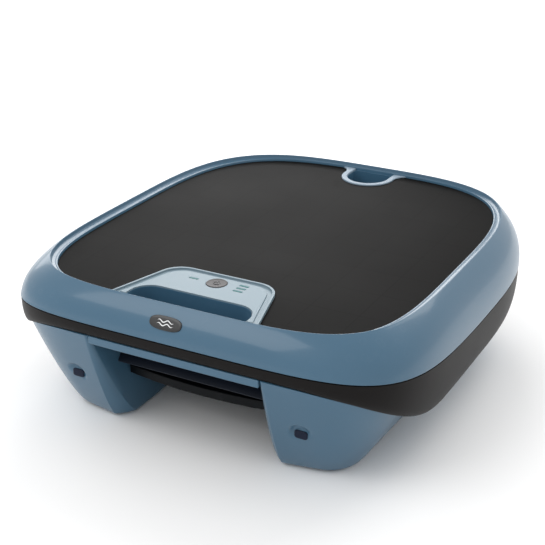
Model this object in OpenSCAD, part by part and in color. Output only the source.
// Solar surface skimmer for swimming pools: a floating twin-keel robot whose paddle wheel
// sweeps debris from the surface into a basket that slides out at the stern.
// Millimetres. +X right, -Y towards the bow (intake and console), +Z up.
// Origin: centre of the footprint, on the plane of the keels' soles.

/* [Body] */
// Width across the seam line
body_w = 466; // [380:1:560]
// Length along the seam line
body_l = 502; // [420:1:603]
// Height from the soles to the rim's crest
body_h = 163; // [155:1:200]
// Height of the seam between rim and hull, amidships
seam_z = 107; // [100:1:115]
// How much higher the seam is at the bow
seam_bow_rise = 22; // [10:1:26]
// How much higher the seam is at the stern
seam_stern_rise = 3; // [0:1:10]
// Squareness of the seam's bow corners
bow_power = 5.2; // [3:0.1:7]
// Squareness of the crest's bow corners
crest_power = 4.6; // [3:0.1:6]
// Squareness of the stern corners
stern_power = 3.4; // [2.8:0.1:6]
// Wall of the hull and rim mouldings
wall = 3; // [2:0.5:4]

/* [Rim] */
// How far the rim's crest lies inside the seam line, across
crest_in_w = 24.5; // [18:0.5:32]
// How far the rim's crest lies inside the seam line, along
crest_in_l = 16.5; // [14:0.5:24]
// How far the whole crest is moved towards the stern
crest_shift = 3.5; // [0:0.5:6]
// Height of the solar glass below the crest
glass_drop = 7; // [5:0.5:10]
// Thickness of the solar glass
glass_t = 2; // [1.5:0.5:4]
// Thickness of the cell laminate under the glass
cell_t = 1.2; // [1:0.2:3]
// Thickness of the soft seal under the laminate
seal_t = 0.8; // [0.5:0.1:1.5]

/* [Hull] */
// Height of the hull's underside
hull_z = 50; // [45:1:56]
// Height of the hull's lower edge at the bow
hull_bow_z = 116; // [114:1:120]
// Distance from the bow over which the hull's lower edge rises
bow_rise_len = 148; // [120:1:180]
// Width of the flange inside the hull's lower edge
hull_flange_w = 42; // [34:1:48]
// Half width of the debris channel
channel_half = 92; // [80:1:100]

/* [Keels] */
// Distance from the seam's bow end back to the sole's front
sole_setback = 48; // [35:1:60]
// Width of a sole
sole_w = 77; // [62:1:80]
// Distance from the seam's stern end to a keel's end
keel_end = 86; // [80:1:120]
// Wall of a keel moulding
keel_wall = 4; // [3:0.5:5]

/* [Intake] */
// Tip radius of the paddle wheel
paddle_r = 26; // [21:0.5:26.5]
// Number of paddle blades
paddle_n = 6; // [4:1:8]
// Radius of the paddle shaft
shaft_r = 4; // [3:0.5:5]
// Depth of the bow apron over the intake
apron_h = 8; // [6:1:14]
// Height of the intake lip's underside
lip_z = 50; // [44:1:51]
// Thickness of the intake lip at its front
lip_h = 10; // [7:1:10]

/* [Console] */
// Distance from the seam's bow end to the console's far edge
console_reach = 112; // [108:1:130]
// Width of the console's far edge before rounding
console_w = 120; // [110:1:150]
// Width of the hand hole
hand_w = 138; // [110:1:150]
// Length of the hand hole, bow to stern
hand_l = 33; // [26:1:34]
// Diameter of the power button
button_d = 22; // [16:1:26]
// Travel of the power button
button_travel = 1.2; // [0.8:0.1:2]

/* [Basket] */
// Wall of the basket
basket_t = 2.5; // [2:0.5:3]
// Distance from the seam's bow end to the basket's mouth
basket_setback = 110; // [108:1:130]
// Height of the basket's rim
basket_top = 103; // [90:1:103]

/* [Thrusters] */
// Radius of the propellers
prop_r = 18; // [14:0.5:18]
// Wall of the propeller duct
duct_t = 3; // [2:0.5:3]

/* [Hidden] */
$fn = 48;
half_w = body_w / 2;
half_l = body_l / 2;
fit_gap = 0.3;
run_gap = 0.05;
steps = 96;
blue = "steelblue";
pale = "lightsteelblue";
black = "#222426";

// Heights that the rim, panel and console share
glass_top = body_h - glass_drop;
cell_top = glass_top - glass_t;
seat_z = cell_top - cell_t - seal_t;
seat_t = 3;
ledge_in = 9.5;
seat_w = 13;
seam_half = 0.6;
seam_flange = 8;

// Channel, intake and paddle wheel
ceiling_z = hull_bow_z;
ceiling_t = 2.5;
paddle_y = -half_l + 58.5;
paddle_z = ceiling_z - paddle_r - 1.5;
blade_tilt = 214;
cheek_end = -half_l + 101;
lip_front = -half_l + 58;
lip_bulge = 8;

// Keels: sole corners, and how the sides swell with height
sole_in = channel_half - 7;
sole_out = sole_in + sole_w;
sole_front = -half_l + sole_setback;
keel_rear = half_l - keel_end;
keel_top_in = channel_half + 5;
keel_cx = (sole_in + sole_out) / 2;
sole_round = 6;
apron_in = 1.5;

// Sensors in the keels' front faces
sensor_x = keel_cx + 6.5;
sensor_z = 56;
sensor_r = 11.5;
sensor_floor = -half_l + 26;
sensor_can_r = 9.5;
sensor_back = 7;

// Gears of the paddle drive
gear_m = 1;
gear_n = 40;
pinion_n = 16;
gear_w = 6;
gear_angle = 25;
backlash = 0.25;
gear_x = -(keel_top_in + 6);
motor_y = paddle_y + gear_m * (gear_n + pinion_n) / 2;

// Thrusters
duct_r = prop_r + 2;
duct_len = 30;
thrust_z = hull_z - fit_gap - 2 - duct_r - duct_t;
prop_shaft_r = 3;

// Fasteners
screw_r = 2;
post_r = 5.5;

// ---- Shared curves ----

function sgn(v) = v < 0 ? -1 : 1;
function spow(v, e) = sgn(v) * pow(abs(v), e);
function clamp01(v) = min(1, max(0, v));
function mix(a, b, s) = a + (b - a) * s;

// Superelliptic plan outline at angle t, drawn in by ix across and iy along
function plan(t, ix = 0, iy = 0, power = bow_power) =
    let(n = sin(t) < 0 ? power : stern_power)
    [(half_w - ix) * spow(cos(t), 2 / n), (half_l - iy) * spow(sin(t), 2 / n)];

function plan_y(t) = plan(t)[1];

function plan_loop(ix, iy, shift, power = crest_power) =
    [for (i = [0 : steps - 1]) plan(i * 360 / steps, ix, iy, power) + [0, shift]];

// Height of the seam and of the hull's lower edge at a place along the body
function seam_at(y) =
    seam_z + (y < 0 ? seam_bow_rise : seam_stern_rise) * pow(y / half_l, 2);
function hull_at(y) =
    hull_z + (hull_bow_z - hull_z) * pow(clamp01((bow_rise_len - half_l - y) / bow_rise_len), 1.7);

// Loop of a polygon with its corners rounded, steps_each points to a corner
function corner(p, q, n, r, k) =
    let(a = (p - q) / norm(p - q), b = (n - q) / norm(n - q),
        half = acos(a * b) / 2,
        centre = q + (a + b) / norm(a + b) * r / sin(half),
        from = atan2(-b[0], b[1]) , turn = 180 - 2 * half,
        out = sgn(a[0] * b[1] - a[1] * b[0]))
    [for (i = [0 : k - 1])
        let(s = i / (k - 1),
            m0 = q + a * r / tan(half) - centre, m1 = q + b * r / tan(half) - centre,
            w0 = sin((1 - s) * turn) / sin(turn), w1 = sin(s * turn) / sin(turn))
        centre + m0 * w0 + m1 * w1];
function rounded(pts, radii, k = 7) =
    let(n = len(pts))
    [for (i = [0 : n - 1])
        each corner(pts[(i + n - 1) % n], pts[i], pts[(i + 1) % n], radii[i], k)];

// Skin over closed rings of equal length; the last ring joins the first
module swept_ring(rings) {
    k = len(rings);
    m = len(rings[0]);
    polyhedron(
        points = [for (r = rings) each r],
        faces = [for (i = [0 : k - 1]) for (j = [0 : m - 1])
            let(a = i * m + j, b = i * m + (j + 1) % m,
                c = ((i + 1) % k) * m + (j + 1) % m, d = ((i + 1) % k) * m + j)
            each [[a, b, c], [a, c, d]]],
        convexity = 6);
}

// Skin over rings from a flat first ring to a flat last one
module capped_skin(rings) {
    k = len(rings);
    m = len(rings[0]);
    polyhedron(
        points = [for (r = rings) each r],
        faces = concat(
            [[for (j = [0 : m - 1]) j]],
            [[for (j = [m - 1 : -1 : 0]) (k - 1) * m + j]],
            [for (i = [0 : k - 2]) for (j = [0 : m - 1])
                let(a = i * m + j, b = i * m + (j + 1) % m)
                each [[a, b + m, b], [a, a + m, b + m]]]),
        convexity = 6);
}

module slab(loop, z0, z1) {
    translate([0, 0, z0]) linear_extrude(z1 - z0) polygon(loop);
}

module rod_x(r, x0, x1) {
    translate([x0, 0, 0]) rotate([0, 90, 0]) cylinder(r = r, h = x1 - x0);
}

module rod_y(r, y0, y1) {
    translate([0, y1, 0]) rotate([90, 0, 0]) cylinder(r = r, h = y1 - y0);
}

module box(low, high) {
    translate(low) cube(high - low);
}

module both_sides() {
    children();
    mirror([1, 0, 0]) children();
}

// ---- Rim ----

// The belt leans in with a power of its height and ends in a crisp crest
belt_power = 2.4;
belt_heights = [0.25, 0.45, 0.62, 0.76, 0.88, 1];
function belt_point(h, in, lift) =
    let(s = pow(h, belt_power)) [s * crest_in_w + in, s * crest_in_l + in, h, lift];

// Each point: in across, in along, share of the way from seam to crest, lift
rim_section = concat(
    [[0, 0, 0, seam_half]],
    [for (h = belt_heights) belt_point(h, 0, 0)], [
    [crest_in_w + 1, crest_in_l + 0.8, 1, -0.5],
    [crest_in_w + 2.2, crest_in_l + 1.5, 1, -4.2],
    [crest_in_w + ledge_in - 0.8, crest_in_l + 3, 1, -4.8],
    [crest_in_w + ledge_in, crest_in_l + 3.5, 1, seat_z - body_h],
    [crest_in_w + ledge_in + seat_w, crest_in_l + 3.5 + seat_w, 1, seat_z - body_h],
    [crest_in_w + ledge_in + seat_w, crest_in_l + 3.5 + seat_w, 1, seat_z - seat_t - body_h],
    [crest_in_w + 6, crest_in_l + 5, 1, seat_z - seat_t - body_h],
    belt_point(0.7, wall, -wall),
    belt_point(0.5, wall, -1.5),
    belt_point(0.25, wall, -0.5),
    [seam_flange, seam_flange, 0, seam_half + wall],
    [seam_flange, seam_flange, 0, seam_half]]);

function rim_ring(s) =
    [for (i = [0 : steps - 1])
        let(t = i * 360 / steps, p = plan(t, s[0], s[1], mix(bow_power, crest_power, s[2])))
        [p[0], p[1] + crest_shift * s[2], mix(seam_at(plan_y(t)), body_h, s[2]) + s[3]]];

glass_in_w = crest_in_w + ledge_in + fit_gap;
glass_in_l = crest_in_l + 3.5 + fit_gap;
post_y = [-60, 60, 150];

// Screw post places: half way across the panel seat, at three stations a side
function post_at(y) =
    let(n = y < 0 ? crest_power : stern_power,
        a = half_w - crest_in_w - ledge_in - seat_w / 2,
        b = half_l - crest_in_l - 3.5 - seat_w / 2)
    a * pow(1 - pow(abs(y - crest_shift) / b, n), 1 / n);
boss_top = hull_z + 62;

module at_posts() {
    both_sides() for (y = post_y) translate([post_at(y), y, 0]) children();
}

module top_frame() {
    color(blue) difference() {
        union() {
            swept_ring([for (i = [len(rim_section) - 1 : -1 : 0]) rim_ring(rim_section[i])]);
            at_posts() translate([0, 0, boss_top + fit_gap])
                cylinder(r = post_r - 0.5, h = seat_z - 1 - boss_top - fit_gap);
        }
        at_posts() translate([0, 0, boss_top - 1])
            cylinder(r = screw_r + run_gap, h = 17);
        slab(hand_loop(wall + fit_gap), seam_z, seat_z + 1);
        slab(cup_loop(cup_r + wall + fit_gap), seam_z, seat_z + 1);
        badge_block(0.15, -badge_sunk - run_gap, 4);
    }
}

module solar_sheet(z0, z1) {
    difference() {
        slab(plan_loop(glass_in_w, glass_in_l, crest_shift), z0, z1);
        slab(console_loop(-fit_gap), z0 - 1, z1 + 1);
        slab(cup_loop(cup_r + cup_edge + fit_gap), z0 - 1, z1 + 1);
    }
}

module solar_glass() {
    color("#141416") solar_sheet(cell_top, glass_top);
}

module solar_cells() {
    color("#0c0e18") solar_sheet(seat_z + seal_t, cell_top);
}

module panel_seal() {
    color("dimgray") intersection() {
        box([0.5, -half_l, seat_z - 1], [half_w, half_l, body_h]);
        difference() {
            slab(plan_loop(glass_in_w + 1, glass_in_l + 1, crest_shift), seat_z, seat_z + seal_t);
            slab(plan_loop(glass_in_w + seat_w - 3, glass_in_l + seat_w - 3, crest_shift),
                seat_z - 1, seat_z + seal_t + 1);
            slab(console_loop(-1), seat_z - 1, seat_z + seal_t + 1);
            slab(cup_loop(cup_r + cup_edge + 1), seat_z - 1, seat_z + seal_t + 1);
        }
    }
}

// The badge lies flat on the belt, sunk into a shallow pocket of its own outline
badge_w = 36;
badge_h = 14;
badge_share = 0.58;
badge_sunk = 1;

module badge_block(grow, z0, z1) {
    up = seam_at(-half_l);
    slope = belt_power * pow(badge_share, belt_power - 1) * crest_in_l + crest_shift;
    w = badge_w / 2 + grow;
    h = badge_h / 2 + grow;
    translate([-6, -half_l + pow(badge_share, belt_power) * crest_in_l + crest_shift * badge_share,
        mix(up, body_h, badge_share)]) rotate([atan2(body_h - up, slope), 0, 0])
        translate([0, 0, z0]) linear_extrude(z1 - z0)
            polygon(rounded([[-w, -h], [w, -h], [w, h], [-w, h]], [h - 0.1, h - 0.1, h - 0.1, h - 0.1]));
}

module badge() {
    color("white") badge_block(0, -badge_sunk, 0.4);
}

// ---- Console ----

console_far = -half_l + console_reach;
console_near = -half_l + 2;
console_top = glass_top + 2;
console_border = 6.5;
hand_far = -half_l + 60;
hand_near = hand_far - hand_l;
button_y = console_far - 20;
light_l = 10.5;
light_w = 3;
light_x = 28;
light_pitch = 6.8;

function console_loop(in) =
    let(f = console_far - in, w = console_w / 2, flare = 30)
    rounded([[-w - flare + in, console_near], [w + flare - in, console_near],
        [w - in, f], [-w + in, f]], [2, 2, 26 - in / 2, 26 - in / 2], 9);

function hand_loop(out) =
    let(w = hand_w / 2 + out)
    rounded([[-w, hand_near - out], [w, hand_near - out], [w - 2, hand_far + out],
        [-w + 2, hand_far + out]], [6 + out, 6 + out, 22, 22]);

function light_places() =
    concat([[-light_x + 1, button_y]],
        [for (i = [-1 : 1]) [light_x, button_y + i * light_pitch]]);

module light_loops(gap) {
    for (p = light_places()) translate(p)
        polygon(rounded([[-light_l / 2 - gap, -light_w / 2 - gap],
            [light_l / 2 + gap, -light_w / 2 - gap], [light_l / 2 + gap, light_w / 2 + gap],
            [-light_l / 2 - gap, light_w / 2 + gap]], [1, 1, 1, 1], 4));
}

module console_outline(in, z0, z1) {
    intersection() {
        slab(console_loop(in), z0, z1);
        slab(plan_loop(glass_in_w + max(0, in), glass_in_l + max(0, in), crest_shift), z0, z1);
    }
}

well_floor = ceiling_z + ceiling_t + 2;

module console_panel() {
    color(pale) difference() {
        union() {
            console_outline(0, seat_z + 0.2, console_top - 1);
            difference() {
                console_outline(0, console_top - 1.2, console_top + 1);
                slab(console_loop(2), console_top - 2, console_top + 2);
            }
            console_outline(console_border, console_top - 1.2, console_top);
            slab(hand_loop(wall), well_floor, console_top - 1);
        }
        slab(hand_loop(0), well_floor + wall, console_top + 2);
        translate([0, button_y, seat_z - 1])
            cylinder(r = button_d / 2 + 0.3, h = glass_drop + 6);
        translate([0, 0, seat_z - 1]) linear_extrude(glass_drop + 6) light_loops(0.2);
    }
}

module power_button() {
    color("#3a3a40") translate([0, button_y, 0]) difference() {
        union() {
            translate([0, 0, seat_z + 1]) cylinder(r = button_d / 2, h = console_top + 0.6 - seat_z - 1);
            translate([0, 0, switch_top + button_travel + 0.4])
                cylinder(r = 4, h = seat_z + 2 - switch_top - button_travel - 0.4);
        }
        translate([0, 0, console_top + 0.6 + 59.2]) sphere(r = 60);
    }
}

board_z = seat_z - 14;
switch_top = board_z + 1.6 + 5;

module console_board() {
    color("darkgreen") translate([0, 0, board_z]) linear_extrude(1.6)
        translate([-42, hand_far + wall + 2]) square([84, console_far - hand_far - wall - 6]);
}

module button_switch() {
    color("gray") translate([0, button_y, board_z + 1.6]) {
        translate([-6, -6, 0]) cube([12, 12, 3.6]);
        cylinder(r = 3, h = 5);
    }
}

module status_lights() {
    color("teal") translate([0, 0, seat_z + 1]) linear_extrude(console_top + 0.2 - seat_z - 1)
        light_loops(-0.1);
}

// ---- Rear grip cup ----

cup_r = 26;
cup_edge = 7;
cup_y = half_l - 37.5;

function cup_loop(r) =
    let(k = 16, top = half_l)
    concat([for (i = [0 : k]) [r * cos(180 + i * 180 / k), cup_y + r * sin(180 + i * 180 / k)]],
        [[r + 0.01, top], [-r - 0.01, top]]);

module cup_outline(r, z0, z1) {
    intersection() {
        slab(cup_loop(r), z0, z1);
        slab(plan_loop(glass_in_w, glass_in_l, crest_shift), z0, z1);
    }
}

module rear_grip_cup() {
    color(blue) difference() {
        union() {
            cup_outline(cup_r + cup_edge, seat_z + 0.2, glass_top + 1.6);
            cup_outline(cup_r + wall, well_floor, seat_z + 1);
        }
        intersection() {
            slab(cup_loop(cup_r), well_floor + wall, body_h);
            slab(plan_loop(glass_in_w + wall, glass_in_l + wall, crest_shift),
                well_floor + wall, body_h);
        }
        slab([for (p = cup_loop(cup_r)) [p[0], p[1] + wall + 1]], seat_z + 2, body_h);
    }
}

// ---- Hull ----

// How far the lower edge lies inside the seam line: little at the bow, more elsewhere
tuck_bow = 4;
tuck_side = 16;
function tuck_at(y) = mix(tuck_bow, tuck_side, clamp01((y + half_l) / 140));

// Each point: share of the tuck, fixed inset, share of the way from seam to lower edge, lift
hull_section = [
    [0, 0.6, 0, -seam_half],
    [0.02, 0.6, 0.3, 0],
    [0.12, 0.6, 0.6, 0],
    [0.4, 0.6, 0.82, 0],
    [0.75, 0.6, 0.95, 0],
    [1, 0.6, 1, 0],
    [1, hull_flange_w, 1, 0],
    [1, hull_flange_w, 1, wall],
    [0.9, 6, 1, wall],
    [0.4, 5.4, 0.8, 1.5],
    [0.12, 0.6 + wall, 0.6, 0.5],
    [0.02, 0.6 + wall, 0.3, 0],
    [0, seam_flange, 0, -seam_half - wall],
    [0, seam_flange, 0, -seam_half]];

function hull_ring(s) =
    [for (i = [0 : steps - 1])
        let(t = i * 360 / steps, y = plan_y(t), in = s[0] * tuck_at(y) + s[1], p = plan(t, in, in))
        [p[0], p[1], mix(seam_at(y), hull_at(y), s[2]) + s[3]]];

rail_z = basket_top - 7;
rail_w = 3;
stern_cut_top = basket_top + 2;

module channel_wall() {
    top = ceiling_z + 0.5;
    translate([channel_half, 0, 0]) rotate([90, 0, 90]) linear_extrude(wall)
        polygon([[cheek_end + 3 + fit_gap, hull_z], [half_l - 31, hull_z], [half_l - 21, hull_z + 8],
            [half_l - 13, hull_z + 20], [half_l - 8, hull_z + 35], [half_l - 6.5, seam_z - 2],
            [half_l - 13, seam_z + 2], [half_l - 13, top], [cheek_end + 3 + fit_gap, top]]);
}

module lower_hull() {
    color(black) difference() {
        union() {
            difference() {
                swept_ring([for (s = hull_section) hull_ring(s)]);
                box([-channel_half, half_l - 80, hull_z - 5], [channel_half, half_l + 9, stern_cut_top]);
            }
            intersection() {
                slab(plan_loop(tuck_side + hull_flange_w - 3, tuck_side + hull_flange_w - 3, 0, bow_power),
                    hull_z, hull_z + wall);
                both_sides() box([channel_half, cheek_end + fit_gap + 53, hull_z - 1],
                    [half_w, half_l, hull_z + wall + 1]);
            }
            both_sides() {
                channel_wall();
                translate([channel_half - rail_w, cheek_end + 12, rail_z - 3])
                    cube([rail_w + 1, half_l - cheek_end - 60, 2.7]);
            }
            box([-channel_half - 1, -half_l + 20, ceiling_z],
                [channel_half + 1, half_l - 13, ceiling_z + ceiling_t]);
            at_posts() translate([0, 0, hull_z + 1]) cylinder(r = post_r, h = boss_top - hull_z - 1);
        }
        at_posts() {
            translate([0, 0, hull_z - 1]) cylinder(r = screw_r + 0.3, h = boss_top);
            translate([0, 0, hull_z - 1]) cylinder(r = 4, h = 7);
        }
        both_sides() box([keel_top_in - 1, -half_l + 10, mouth_top - 4],
            [keel_top_in + 5, cheek_end, mouth_top]);
    }
}

module seam_gasket() {
    color("#101010") swept_ring([for (s = [[2.5, -1], [2.5, 1], [6.5, 1], [6.5, -1]])
        [for (i = [0 : steps - 1])
            let(t = i * 360 / steps, p = plan(t, s[0], s[0]))
            [p[0], p[1], seam_at(plan_y(t)) + s[1] * (seam_half - 0.02)]]]);
}

module hull_screws() {
    color("silver") at_posts() translate([0, 0, hull_z + 2.5]) {
        cylinder(r = 3.7, h = 3.4);
        cylinder(r = screw_r, h = boss_top - hull_z + 8);
    }
}

// ---- Keels ----

// The sole's loop and the loop that the sides swell towards, point for point
bow_from = 283;
bow_to = 338;
bow_k = 14;

// Outer side points where the hull's edge still rises, and the sole's flare towards the stern
side_y = [bow_rise_len - half_l - 32, bow_rise_len - half_l];
sole_flare = 16;

// The mouth side of the sole is cut back so that debris is led in
funnel_w = 15;
funnel_l = 18;
funnel_bulge = [1, 0.8];
side_bulge = 0.5;

// The mouth side steps up at the cheek and swells slightly there
cheek_bulge = 0.4;
function cheek_points(a) =
    [for (p = [[0.75, 6], [1, 3], [1, 0], [0.75, -20]]) [a - cheek_bulge * p[0], cheek_end + p[1]]];

// Hull height beside the mouth
mouth_top = hull_at(-half_l * pow(1 - pow(keel_top_in / half_w, bow_power), 1 / bow_power));

function sole_loop(in) =
    let(a = sole_in + in, b = sole_out - in, c = b + sole_flare, f = sole_front + in,
        r = keel_rear - in, s = 1 - 0.035 * in)
    concat(
        [for (i = [0 : 4]) mix([a, f + funnel_l * s], [a + funnel_w * s, f], i / 4)
            - funnel_bulge * sin(45 * i)],
        corner([a, f], [b, f + 10], [c, r], 32 - in, bow_k),
        [for (y = side_y) [mix(b, c, (y - f) / (r - f)) + side_bulge, y]],
        corner([b, f], [c, r], [a, r], 20 - in, 5),
        corner([c, r], [a, r], [a, f], 8 - in / 2, 5),
        cheek_points(a));

function crown_loop(in) =
    let(a = keel_top_in + in, d = apron_in + in, f = -half_l + d,
        b = half_w - 8 - in, r = keel_rear - in)
    concat(
        corner([a, r], [a, f], [b, f], 4, 5),
        [for (i = [0 : bow_k - 1]) plan(mix(bow_from, bow_to, i / (bow_k - 1)), d, d)],
        [for (y = side_y) [b + side_bulge, y]],
        corner([b - 6, f], [b - 6, r], [a, r], 20, 5),
        corner([b, r], [a, r], [a, f], 8, 5),
        cheek_points(a));

// Top edge heights, point for point: along the hull's edge outside, a tall cheek inside
function crown_z() =
    let(t = [for (i = [0 : bow_k - 1]) mix(bow_from, bow_to, i / (bow_k - 1))])
    [for (z = concat(
        [for (i = [0 : 4]) mouth_top],
        [for (a = t) hull_at(plan_y(a))],
        [for (y = side_y) hull_at(y)],
        [for (i = [0 : 9]) hull_z],
        [hull_z, hull_z, mouth_top, mouth_top])) z - fit_gap];

// Ring of the keel: a share w of the way up at every point, drawn in by its wall
function keel_ring(w, in, floor) =
    let(crown = crown_loop(in), top = crown_z(),
        lift = [for (z = top) mix(floor, z, w)])
    [for (j = [0 : len(top) - 1])
        let(z = lift[j],
            tight = in + (z < sole_round ? sole_round - sqrt(max(0, pow(sole_round, 2) - pow(sole_round - z, 2))) : 0),
            sole = sole_loop(tight)[j], s = clamp01(z / hull_bow_z))
        [mix(sole[0], crown[j][0], pow(s, swell_power)), mix(sole[1], crown[j][1], pow(s, rake_power)), z]];

swell_power = 0.82;
rake_power = 0.7;
keel_shares = [0, 0.012, 0.035, 0.07, 0.14, 0.24, 0.36, 0.5, 0.66, 0.82, 1];

module keel_tub() {
    capped_skin(concat(
        [for (w = keel_shares) keel_ring(w, 0, 0)],
        [for (i = [0 : len(keel_shares) - 1])
            keel_ring(keel_shares[len(keel_shares) - 1 - i], keel_wall, keel_wall)]));
}

module keel() {
    color(blue) difference() {
        union() {
            keel_tub();
            translate([sensor_x, 0, sensor_z])
                rod_y(sensor_r + 2.5, sensor_floor - 3, sensor_floor + 2.5);
        }
        translate([sensor_x, 0, sensor_z]) rod_y(sensor_r, sensor_floor - 40, sensor_floor);
        box([sensor_x - 6.5, sensor_floor - 1, sensor_z - 5],
            [sensor_x + 6.5, sensor_floor + 9, sensor_z + 1]);
        translate([0, paddle_y, paddle_z]) rod_x(shaft_r + 4 + run_gap, channel_half - 4, keel_top_in + 12);
        translate([keel_cx, 0, thrust_z]) rod_y(7 + run_gap, keel_rear - 12, keel_rear + 4);
    }
}

module keel_right() {
    keel();
}

module keel_left() {
    mirror([1, 0, 0]) keel();
}

module front_apron() {
    k = 12;
    x0 = keel_top_in - 0.4;
    span = [for (i = [0 : k]) let(x = mix(-x0, x0, i / k))
        [x, -(half_l - apron_in) * pow(1 - pow(abs(x) / (half_w - apron_in), bow_power), 1 / bow_power)]];
    color(blue) slab(concat(span, [for (i = [k : -1 : 0]) span[i] + [0, keel_wall]]),
        mouth_top - fit_gap - apron_h, mouth_top - fit_gap);
}

module intake_lip() {
    half = channel_half - 4;
    k = 12;
    front = [for (i = [0 : k]) let(x = mix(-half, half, i / k))
        [x, lip_front - lip_bulge * (1 - pow(x / half, 2))]];
    color(black) difference() {
        slab(concat(front, [[half, basket_front - 4], [-half, basket_front - 4]]), lip_z, lip_z + lip_h);
        translate([0, paddle_y, paddle_z]) rod_x(paddle_r + 2.5, -half - 1, half + 1);
        box([-half - 1, paddle_y + 6, lip_z + 4], [half + 1, 0, lip_z + 40]);
    }
}

// ---- Obstacle sensors ----

module sensor_window() {
    color("#1c2230") box([sensor_x - 6.4, sensor_floor + 0.2, sensor_z - 4.9],
        [sensor_x + 6.4, sensor_floor + 2.4, sensor_z + 0.9]);
}

module sensor_unit() {
    color("dimgray") translate([sensor_x, 0, sensor_z]) {
        rod_y(sensor_can_r, sensor_floor + sensor_back, sensor_floor + sensor_back + 11);
        box([-7, sensor_floor + sensor_back + 10, -7], [7, sensor_floor + sensor_back + 17, 7]);
    }
}

// ---- Paddle drive ----

module paddle_wheel() {
    half = channel_half - 3;
    color("#1b2433") translate([0, paddle_y, paddle_z]) difference() {
        union() {
            rod_x(shaft_r + 3.5, -half, half);
            for (i = [0 : paddle_n - 1]) rotate([blade_tilt + i * 360 / paddle_n, 0, 0])
                box([2 - half, shaft_r + 2, -1.1], [half - 2, paddle_r, 1.1]);
        }
        rod_x(shaft_r, -half - 1, half + 1);
    }
}

module paddle_shaft() {
    color("silver") translate([0, paddle_y, paddle_z])
        rod_x(shaft_r - 0.001, gear_x - gear_w - 1, keel_top_in + 5);
}

// Involute tooth flanks, thinned a little for backlash
function involute(rb, a) = [rb * (cos(a) + a * PI / 180 * sin(a)), rb * (sin(a) - a * PI / 180 * cos(a))];
function polar(r, a) = [r * cos(a), r * sin(a)];
function inv_angle(rb, r) = let(a = acos(min(1, rb / r))) tan(a) * 180 / PI - a;
function gear_loop(n) =
    let(rp = gear_m * n / 2, rb = rp * cos(gear_angle), ra = rp + 0.95 * gear_m,
        rf = rp - 1.2 * gear_m, half = 90 / n - backlash / 2 / rp * 180 / PI + inv_angle(rb, rp),
        r0 = max(rb, rf), rs = [for (i = [0 : 4]) mix(r0, ra, i / 4)])
    [for (k = [0 : n - 1]) let(c = k * 360 / n) each concat(
        [polar(rf, c - half)],
        [for (r = rs) polar(max(r, rf + 0.01), c - half + inv_angle(rb, r))],
        [for (i = [4 : -1 : 0]) polar(max(rs[i], rf + 0.01), c + half - inv_angle(rb, rs[i]))],
        [polar(rf, c + half)])];

module paddle_gear() {
    color("ivory") translate([gear_x - gear_w, paddle_y, paddle_z]) rotate([90, 0, 90])
        linear_extrude(gear_w) difference() {
            polygon(gear_loop(gear_n));
            circle(r = shaft_r);
        }
}

module motor_pinion() {
    color("goldenrod") translate([gear_x - gear_w - 2, motor_y, paddle_z]) rotate([90, 0, 90])
        union() {
            linear_extrude(gear_w + 3) rotate(180 + 180 / pinion_n) polygon(gear_loop(pinion_n));
            translate([0, 0, -8]) cylinder(r = 1.5, h = 8.5);
        }
}

module paddle_bush() {
    color("tan") translate([0, paddle_y, paddle_z]) difference() {
        union() {
            rod_x(shaft_r + 4, channel_half - 1, keel_top_in + 4.5);
            rod_x(shaft_r + 3, channel_half - 1.8, channel_half);
        }
        rod_x(shaft_r + run_gap, channel_half - 5, keel_top_in + 9);
    }
}

bracket_x = gear_x - gear_w - 4;
motor_r = 14;

module motor_bracket() {
    color("silver") difference() {
        union() {
            box([bracket_x - 3, motor_y - 16, paddle_z - 16], [bracket_x, motor_y + 20, paddle_z + 16]);
            for (z = [-12, 12]) translate([0, motor_y + 16, paddle_z + z])
                rod_x(3, bracket_x - 1, -keel_top_in - keel_wall - 0.6);
        }
        translate([0, motor_y, paddle_z]) rod_x(6, bracket_x - 4, bracket_x + 1);
    }
}

module paddle_motor() {
    color("gray") translate([0, motor_y, paddle_z]) difference() {
        union() {
            rod_x(motor_r, bracket_x - 44, bracket_x - 3.1);
            rod_x(5.9, bracket_x - 4, bracket_x - 0.5);
            rod_x(5, bracket_x - 48, bracket_x - 43);
        }
        rod_x(1.5 + run_gap, gear_x - gear_w - 11, bracket_x + 1);
    }
}

// ---- Basket ----

basket_half = channel_half - rail_w - 2.5;
basket_front = -half_l + basket_setback;
basket_floor = lip_z;
grille_t = 3;
flap_z = basket_top - 5;
flap_y = basket_front + 5;
pin_r = 2;

// Side view of the basket's stern panel, from its top outer corner down and back up
function grille_line(d) = [[half_l - 2 - d, basket_top + 1], [half_l - 3.5 - d, hull_z + 36],
    [half_l - 8 - d, hull_z + 20], [half_l - 17 - d, hull_z + 8],
    [half_l - 26 - d, basket_floor + d]];

module basket_grille() {
    half = channel_half - 0.6;
    color(black) difference() {
        rotate([90, 0, 90]) translate([0, 0, -half]) linear_extrude(2 * half)
            polygon(concat(grille_line(0), [for (i = [4 : -1 : 0]) grille_line(grille_t)[i]]));
        for (i = [0 : 3])
            box([-half + 14, half_l - 45, hull_z + 6 + i * 8], [half - 14, half_l + 5, hull_z + 10 + i * 8]);
        box([-42, half_l - 45, basket_top - 17], [42, half_l + 5, basket_top - 5]);
    }
}

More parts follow.
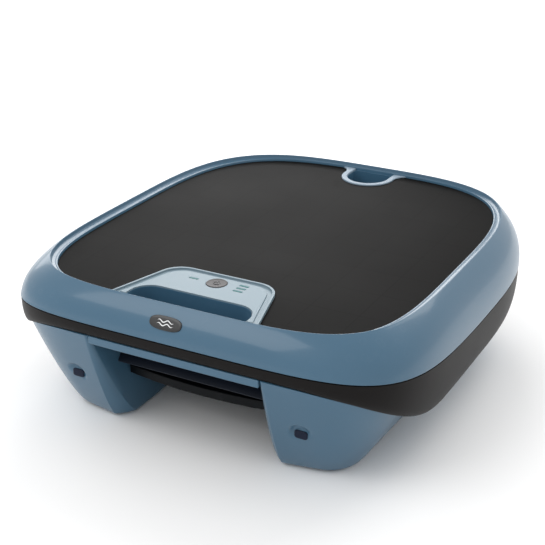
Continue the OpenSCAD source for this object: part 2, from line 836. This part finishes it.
module basket_tub() {
    out = basket_half;
    in = out - basket_t;
    y0 = basket_front;
    y1 = half_l - 32;
    color("#2b2f33") difference() {
        union() {
            box([-out, y0, basket_floor], [out, y1, basket_top]);
            both_sides() box([out - 1, y0 + 12, rail_z], [channel_half - 0.5, y1, rail_z + 3]);
        }
        box([-in, y0 - 1, basket_floor + basket_t], [in, y1 + 9, basket_top + 1]);
        both_sides() for (i = [0 : 3])
            box([in - 1, mix(y0, y1, (i + 0.12) / 4), basket_floor + 10],
                [out + 1, mix(y0, y1, (i + 0.88) / 4), rail_z - 6]);
        for (i = [0 : 3]) for (j = [0 : 1])
            translate([j * (in + 3) - in, 0, 0])
                box([4, mix(y0, y1, (i + 0.12) / 4), basket_floor - 1],
                    [in - 7, mix(y0, y1, (i + 0.88) / 4), basket_floor + basket_t + 1]);
    }
}

module basket_mesh() {
    in = basket_half - basket_t - 0.2;
    y0 = basket_front + 8;
    y1 = half_l - 33;
    low = basket_floor + basket_t + 0.1;
    color("silver") difference() {
        box([-in, y0, low], [in, y1, rail_z - 3]);
        box([-in + 0.6, y0 - 1, low + 0.6], [in - 0.6, y1 + 1, rail_z]);
    }
}

module intake_flap() {
    half = basket_half - basket_t - 1.5;
    color("#23272b") difference() {
        union() {
            box([-half, flap_y - 1, basket_floor + basket_t + 3], [half, flap_y + 1, flap_z]);
            translate([0, flap_y, flap_z]) rod_x(pin_r + 2, -half, half);
        }
        translate([0, flap_y, flap_z]) rod_x(pin_r + run_gap, -half - 1, half + 1);
    }
}

module flap_pin() {
    half = basket_half - basket_t - 0.1;
    color("silver") translate([0, flap_y, flap_z]) rod_x(pin_r, -half, half);
}

// ---- Thrusters ----

prop_y = keel_rear + 20;

module duct() {
    color(black) translate([keel_cx, 0, thrust_z]) {
        difference() {
            union() {
                rod_y(duct_r + duct_t, keel_rear + 6, keel_rear + 6 + duct_len);
                box([-7, keel_rear + 9, duct_r], [7, keel_rear + 3 + duct_len, hull_z - fit_gap - thrust_z]);
            }
            rod_y(duct_r, keel_rear + 1, keel_rear + 9 + duct_len);
        }
    }
}

module propeller() {
    color("#2a3a4a") translate([keel_cx, prop_y, thrust_z]) difference() {
        union() {
            rod_y(prop_shaft_r + 3, -7, 7);
            for (i = [0 : 2]) rotate([0, i * 120, 0]) intersection() {
                rotate([0, 0, 0]) translate([0, 0, prop_shaft_r + 1]) rotate([0, 0, 38])
                    translate([-7, -0.8, 0]) cube([14, 1.6, prop_r]);
                rod_y(prop_r, -9, 9);
            }
        }
        rod_y(prop_shaft_r, -10, 10);
    }
}

module prop_shaft() {
    color("silver") translate([keel_cx, 0, thrust_z]) rod_y(prop_shaft_r - 0.001, keel_rear - 22, prop_y + 9);
}

module prop_seal() {
    color("#181818") translate([keel_cx, 0, thrust_z]) difference() {
        rod_y(7, keel_rear - 9, keel_rear + 2);
        rod_y(prop_shaft_r + run_gap, keel_rear - 11, keel_rear + 4);
    }
}

module thruster_motor() {
    color("gray") translate([keel_cx, 0, thrust_z]) difference() {
        union() {
            rod_y(12, keel_rear - 66, keel_rear - 14);
            rod_y(5, keel_rear - 70, keel_rear - 65);
        }
        rod_y(prop_shaft_r + run_gap, keel_rear - 23, keel_rear - 13);
    }
}

// ---- Power and control ----

// Rows of cells from the cheek to the thruster's motor, two side by side
cell_l = 65;
cell_pitch = 67;
cell_y = cheek_end + 45;
cell_rows = floor((keel_rear - 70 - cell_y) / cell_pitch);

module battery() {
    color("royalblue") for (i = [0 : max(1, cell_rows) - 1]) for (j = [0 : 1])
        translate([sole_in + keel_wall + 22 + j * 26, 0, keel_wall + 14.5])
            rod_y(12.9, cell_y + i * cell_pitch, cell_y + i * cell_pitch + cell_l);
}

control_y0 = -half_l + 130;
control_y1 = control_y0 + 96;
control_z = ceiling_z + ceiling_t + 0.2;

module control_box() {
    color("darkslategray") difference() {
        box([-62, control_y0, control_z], [62, control_y1, control_z + 22]);
        box([-59.5, control_y0 + 2.5, control_z + 2.5], [59.5, control_y1 - 2.5, control_z + 23]);
        lid_screw_holes();
    }
    color("darkslategray") difference() {
        for (x = [-1, 1]) for (y = [control_y0 + 5.5, control_y1 - 5.5])
            translate([x * 56.5, y, control_z + 1]) cylinder(r = 4, h = 21);
        lid_screw_holes();
    }
}

module at_lid_screws() {
    for (x = [-1, 1]) for (y = [control_y0 + 5.5, control_y1 - 5.5])
        translate([x * 56.5, y, control_z]) children();
}

module lid_screw_holes() {
    at_lid_screws() translate([0, 0, 12]) cylinder(r = 1.55, h = 14);
}

module control_lid() {
    color("slategray") difference() {
        box([-62, control_y0, control_z + 22.1], [62, control_y1, control_z + 25]);
        at_lid_screws() translate([0, 0, 20]) cylinder(r = 1.8, h = 8);
    }
}

module control_board() {
    color("darkgreen") union() {
        box([-50, control_y0 + 12, control_z + 6], [50, control_y1 - 12, control_z + 7.6]);
        box([-30, control_y0 + 24, control_z + 7], [-8, control_y0 + 46, control_z + 12]);
        for (x = [8, 24]) translate([x, control_y0 + 36, control_z + 7]) cylinder(r = 6, h = 11);
    }
}

module lid_screws() {
    color("silver") at_lid_screws() {
        translate([0, 0, 13]) cylinder(r = 1.5, h = 13);
        translate([0, 0, 25.05]) cylinder(r = 2.8, h = 1.8);
    }
}

top_frame();
solar_glass();
solar_cells();
mirror([1, 0, 0]) panel_seal();  // panel_seal_left
panel_seal();  // panel_seal_right
console_panel();
power_button();
button_switch();
console_board();
status_lights();
rear_grip_cup();
badge();
seam_gasket();
lower_hull();
keel_left();
keel_right();
front_apron();
intake_lip();
mirror([1, 0, 0]) sensor_window();  // sensor_window_left
sensor_window();  // sensor_window_right
mirror([1, 0, 0]) sensor_unit();  // sensor_left
sensor_unit();  // sensor_right
paddle_wheel();
paddle_shaft();
paddle_gear();
mirror([1, 0, 0]) paddle_bush();  // paddle_bush_left
paddle_bush();  // paddle_bush_right
paddle_motor();
motor_pinion();
motor_bracket();
basket_tub();
basket_mesh();
basket_grille();
intake_flap();
flap_pin();
mirror([1, 0, 0]) duct();  // duct_left
duct();  // duct_right
mirror([1, 0, 0]) propeller();  // propeller_left
propeller();  // propeller_right
mirror([1, 0, 0]) prop_shaft();  // prop_shaft_left
prop_shaft();  // prop_shaft_right
mirror([1, 0, 0]) prop_seal();  // prop_seal_left
prop_seal();  // prop_seal_right
mirror([1, 0, 0]) thruster_motor();  // thruster_motor_left
thruster_motor();  // thruster_motor_right
mirror([1, 0, 0]) battery();  // battery_left
battery();  // battery_right
control_box();
control_lid();
control_board();
hull_screws();
lid_screws();
